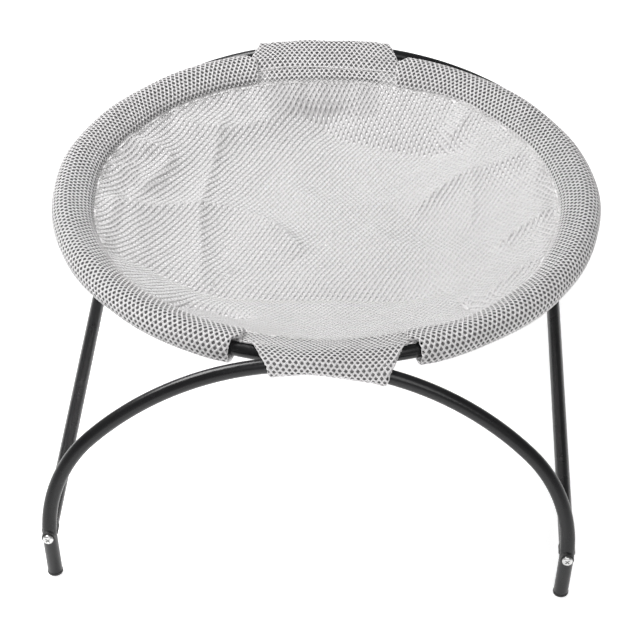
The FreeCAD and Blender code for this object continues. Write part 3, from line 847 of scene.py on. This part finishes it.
def make_tapes(end, place, long):
    """A tail's hook tape, and the loop tape under the bowl that it closes on."""
    sign = -1 if end == "front" else 1

    def on_tail(x, t):
        u, v = x, long / 2 - 0.027 + t * 0.021 + 0 * x
        p = place(u, v)
        d = 2e-4
        n = unit(np.cross(place(u + d, v) - place(u - d, v), place(u, v + d) - place(u, v - d)))
        n = n * np.where(n[..., 2:] > 0, 1.0, -1.0)
        return p + n * 0.0006, n

    def under_bowl(x, t):
        r = 0.2075 + t * 0.020
        angle = sign * np.pi / 2 + sign * -1 * x / 0.218
        u, v = r * np.cos(angle), r * np.sin(angle)
        p = bowl_place(u, v)
        d = 1e-3
        n = unit(np.cross(bowl_place(u + d, v) - bowl_place(u - d, v), bowl_place(u, v + d) - bowl_place(u, v - d)))
        n = n * np.where(n[..., 2:] < 0, 1.0, -1.0)
        return p + n * 0.0007, n

    half = 0.045
    tape_grid(f"{end}_hooks", on_tail, half, 0.021, f"{end}_tail", f"{end}_hook_tape", HOOK, False)
    tape_grid(f"{end}_loops", under_bowl, half, 0.020, "stand", f"{end}_loop_tape", LOOP, True)


def make_cover():
    make_bowl()
    make_sleeve("right_sleeve", 1)
    make_sleeve("left_sleeve", -1)
    for end in ("front", "rear"):
        place, long = make_flap(end)
        make_tapes(end, place, long)
        if end == "rear":
            make_hem(place, long)
    make_seam()


# Studio

def make_studio():
    """A pale floor that glows a little, a grey gradient round it and two soft lamps."""
    me = bpy.data.meshes.new("floor")
    me.from_pydata([(-9, -9, 0), (9, -9, 0), (9, 9, 0), (-9, 9, 0)], [], [(0, 1, 2, 3)])
    floor = bpy.data.objects.new("floor", me)
    bpy.context.scene.collection.objects.link(floor)
    m, t, b = new_material("pale_floor", (0.90, 0.90, 0.90), 0.9)
    b.inputs["Specular IOR Level"].default_value = 0.1
    b.inputs["Emission Color"].default_value = (1, 1, 1, 1)
    b.inputs["Emission Strength"].default_value = 0.62
    me.materials.append(m)
    world = bpy.data.worlds.new("studio")
    world.use_nodes = True
    t = world.node_tree
    split = t.nodes.new("ShaderNodeSeparateXYZ")
    t.links.new(coordinates(t, "Generated"), split.inputs["Vector"])
    t.links.new(ramp(t, split.outputs["Z"], [(0.0, (0.95,) * 3), (0.20, (0.32,) * 3), (0.5, (0.19,) * 3)]),
                t.nodes["Background"].inputs["Color"])
    bpy.context.scene.world = world
    for name, place, size, power in (("key", (-1.05, 0.55, 1.75), 1.0, 41), ("front_fill", (0.35, -1.6, 2.0), 1.4, 21)):
        light = bpy.data.lights.new(name, "AREA")
        light.size = size
        light.energy = power
        ob = bpy.data.objects.new(name, light)
        ob.location = place
        ob.rotation_mode = "QUATERNION"
        ob.rotation_quaternion = (Vector((0, 0, 0.15)) - Vector(place)).to_track_quat("-Z", "Y")
        bpy.context.scene.collection.objects.link(ob)
    bpy.context.scene.view_settings.view_transform = "Standard"


def make_camera():
    """The photograph's viewing angle, from a fit of the frame's proportions."""
    elevation, yaw, roll = math.radians(37.74), math.radians(2.30), math.radians(0.79)
    target, distance = Vector((-0.0044, 0, 0.0595)), 2.332
    back = Vector((math.sin(yaw) * math.cos(elevation), -math.cos(yaw) * math.cos(elevation), math.sin(elevation)))
    right = Vector((math.cos(yaw), math.sin(yaw), 0))
    up = back.cross(right)
    r = right * math.cos(roll) + up * math.sin(roll)
    u = up * math.cos(roll) - right * math.sin(roll)
    data = bpy.data.cameras.new("camera")
    data.sensor_width = 36
    data.lens = 125.16
    data.clip_start, data.clip_end = 0.1, 60
    cam = bpy.data.objects.new("camera", data)
    bpy.context.scene.collection.objects.link(cam)
    cam.matrix_world = Matrix((
        (r.x, u.x, back.x, target.x + back.x * distance),
        (r.y, u.y, back.y, target.y + back.y * distance),
        (r.z, u.z, back.z, target.z + back.z * distance),
        (0, 0, 0, 1)))
    bpy.context.scene.camera = cam


finish_cad_nodes()
make_cover()
make_studio()
make_camera()
